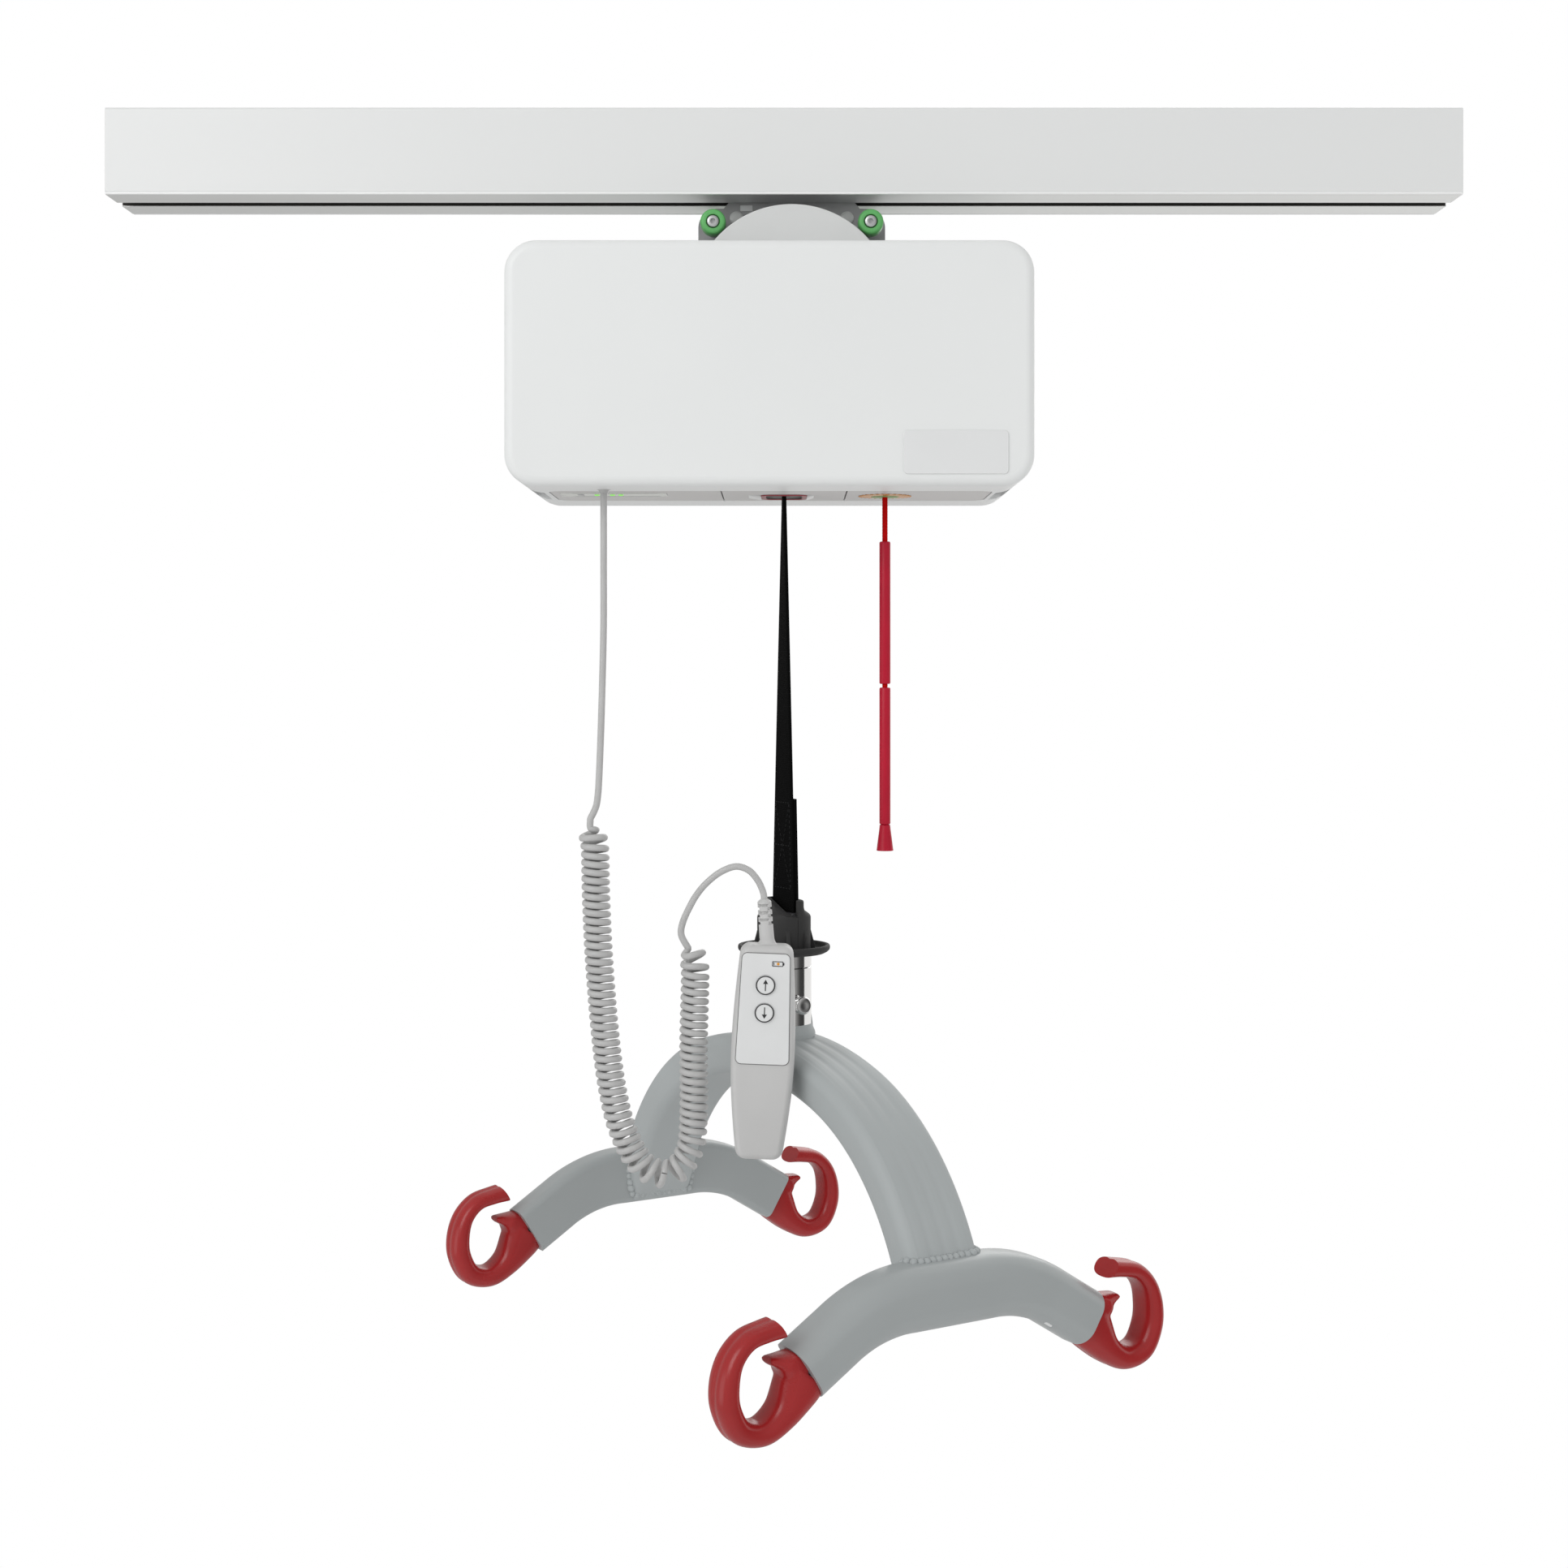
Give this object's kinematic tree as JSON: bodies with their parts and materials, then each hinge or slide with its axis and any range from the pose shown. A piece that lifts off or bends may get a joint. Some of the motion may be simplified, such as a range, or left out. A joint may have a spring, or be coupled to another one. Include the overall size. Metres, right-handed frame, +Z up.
{
  "type": "ceiling track hoist",
  "caption": "Ceiling track hoist: rail, wheeled trolley, motor housing with lifting strap, swivelling sling bar with hooks, handset on a curly cord and a red emergency pull cord.",
  "frame": {"origin": "middle of the rail's top face, between the two ceiling bolts and above the strap", "axes": "+X along the rail to the viewer's right, +Y away from the viewer, +Z up"},
  "size_m": [0.966, 0.5484, 0.8756],
  "materials": {
    "rail_silver": "satin anodised",
    "black_rubber": "matt",
    "steel": "bright zinc plated",
    "chassis_grey": "powder coated",
    "dome_grey": "fine textured",
    "cover_white": "satin moulded",
    "tray_grey": "satin moulded",
    "window_pale": "clear over pale green",
    "light_green": "lit",
    "guide_red": "moulded",
    "rosette_orange": "moulded",
    "badge_white": "bare plate",
    "inner_metal": "plain",
    "motor_black": "plain",
    "battery_blue": "shrink wrap",
    "board_green": "solder mask",
    "wheel_nylon": "turned nylon",
    "roller_green": "moulded",
    "webbing_black": "woven",
    "black_plastic": "fine textured",
    "polished_steel": "polished",
    "handset_grey": "satin moulded",
    "overlay_pale": "printed film",
    "button_white": "moulded",
    "cord_grey": "satin jacket",
    "bar_grey": "powder coated",
    "hook_red": "moulded",
    "rope_red": "braided",
    "grip_red": "sleeved"
  },
  "bodies": {
    "rail": {"rail_profile": "rail_silver", "end_stops": "black_rubber", "end_stop_screws": "steel"},
    "carriage": {"trolley_chassis": "chassis_grey", "dome_plates": "dome_grey", "hanger_bolts": "steel", "roller_screws": "steel", "front_cover": "cover_white", "rear_cover": "cover_white", "bottom_tray": "tray_grey", "display_window": "window_pale", "status_leds": "light_green", "strap_guide_ring": "guide_red", "pull_rosette": "rosette_orange", "badge_plate": "badge_white", "frame_plates": "inner_metal", "motor": "motor_black", "battery_packs": "battery_blue", "control_board": "board_green", "drum_bearings": "steel", "cover_screws": "steel", "pull_switch": "black_plastic", "cord_gland": "cord_grey", "cord_lead": "cord_grey"},
    "wheelset_left": {"axle_left": "steel", "wheels_left": "wheel_nylon"},
    "wheelset_right": {"axle_right": "steel", "wheels_right": "wheel_nylon"},
    "guide_roller_front_left": {"roller_front_left": "roller_green"},
    "guide_roller_front_right": {"roller_front_right": "roller_green"},
    "guide_roller_rear_left": {"roller_rear_left": "roller_green"},
    "guide_roller_rear_right": {"roller_rear_right": "roller_green"},
    "drum": {"strap_drum": "inner_metal", "drum_gear": "steel", "strap_wrap": "webbing_black"},
    "pinion": {"motor_pinion": "steel"},
    "lift_unit": {"lifting_strap": "webbing_black", "strap_pin": "steel", "coupling_front": "black_plastic", "coupling_rear": "black_plastic", "hanger_disc": "black_plastic", "swivel_bearing": "polished_steel", "handset_front": "handset_grey", "handset_rear": "handset_grey", "handset_overlay": "overlay_pale", "handset_board": "board_green", "strain_relief": "handset_grey", "cord_curls": "cord_grey", "cord_tail": "cord_grey"},
    "up_button": {"button_up": "button_white"},
    "down_button": {"button_down": "button_white"},
    "sling_bar": {"swivel_stem": "polished_steel", "stem_collar": "bar_grey", "arch": "bar_grey", "crossbars": "bar_grey", "hooks_front": "hook_red", "hooks_rear": "hook_red"},
    "knob": {"release_knob": "polished_steel"},
    "pull_cord": {"pull_rope": "rope_red", "pull_grip": "grip_red"}
  },
  "joints": [
    {"name": "travel", "type": "slide", "parent": "rail", "child": "carriage", "axis": [1, 0, 0], "range_m": [-0.4, 0.4]},
    {"name": "wheel_left_spin", "type": "hinge", "parent": "carriage", "child": "wheelset_left", "pos_m": [-0.0244, 0, -0.036], "axis": [0, 1, 0], "range_deg": [-1200, 1200]},
    {"name": "wheel_right_spin", "type": "hinge", "parent": "carriage", "child": "wheelset_right", "pos_m": [0.0356, 0, -0.036], "axis": [0, 1, 0], "range_deg": [-1200, 1200]},
    {"name": "roller_front_left_spin", "type": "hinge", "parent": "carriage", "child": "guide_roller_front_left", "pos_m": [-0.0506, -0.028, -0.081], "axis": [0, 1, 0], "continuous": true},
    {"name": "roller_front_right_spin", "type": "hinge", "parent": "carriage", "child": "guide_roller_front_right", "pos_m": [0.0618, -0.028, -0.081], "axis": [0, 1, 0], "continuous": true},
    {"name": "roller_rear_left_spin", "type": "hinge", "parent": "carriage", "child": "guide_roller_rear_left", "pos_m": [-0.0506, 0.028, -0.081], "axis": [0, 1, 0], "continuous": true},
    {"name": "roller_rear_right_spin", "type": "hinge", "parent": "carriage", "child": "guide_roller_rear_right", "pos_m": [0.0618, 0.028, -0.081], "axis": [0, 1, 0], "continuous": true},
    {"name": "lift", "type": "slide", "parent": "carriage", "child": "lift_unit", "axis": [0, 0, 1], "range_m": [-1.8, 0.12], "deforming": ["lifting_strap", "cord_curls"]},
    {"name": "drum_spin", "type": "hinge", "parent": "carriage", "child": "drum", "pos_m": [-0.0463, 0, -0.185], "axis": [0, 1, 0], "range_deg": [-160, 2300]},
    {"name": "pinion_spin", "type": "hinge", "parent": "carriage", "child": "pinion", "pos_m": [-0.1263, 0, -0.185], "axis": [0, 1, 0], "range_deg": [-6900, 500]},
    {"name": "swivel", "type": "hinge", "parent": "lift_unit", "child": "sling_bar", "pos_m": [0, 0, -0.6], "axis": [0, 0, 1], "range_deg": [-1, 60]},
    {"name": "knob_pull", "type": "slide", "parent": "sling_bar", "child": "knob", "axis": [0.521, -0.8536, 0], "range_m": [0, 0.005], "stiffness_N_per_m": 800, "springref_m": -0.004},
    {"name": "up_press", "type": "slide", "parent": "lift_unit", "child": "up_button", "axis": [0, 1, 0], "range_m": [0, 0.0008], "stiffness_N_per_m": 1500, "springref_m": -0.0004},
    {"name": "down_press", "type": "slide", "parent": "lift_unit", "child": "down_button", "axis": [0, 1, 0], "range_m": [0, 0.0008], "stiffness_N_per_m": 1500, "springref_m": -0.0004},
    {"name": "emergency_pull", "type": "slide", "parent": "carriage", "child": "pull_cord", "axis": [0, 0, -1], "range_m": [0, 0.012], "stiffness_N_per_m": 500, "springref_m": -0.006}
  ],
  "couplings": [
    {"joint": "wheel_left_spin", "follows": "travel", "rad_per_m": 50.761},
    {"joint": "wheel_right_spin", "follows": "travel", "rad_per_m": 50.761},
    {"joint": "drum_spin", "follows": "lift", "rad_per_m": -21.598},
    {"joint": "pinion_spin", "follows": "lift", "rad_per_m": 64.795}
  ]
}
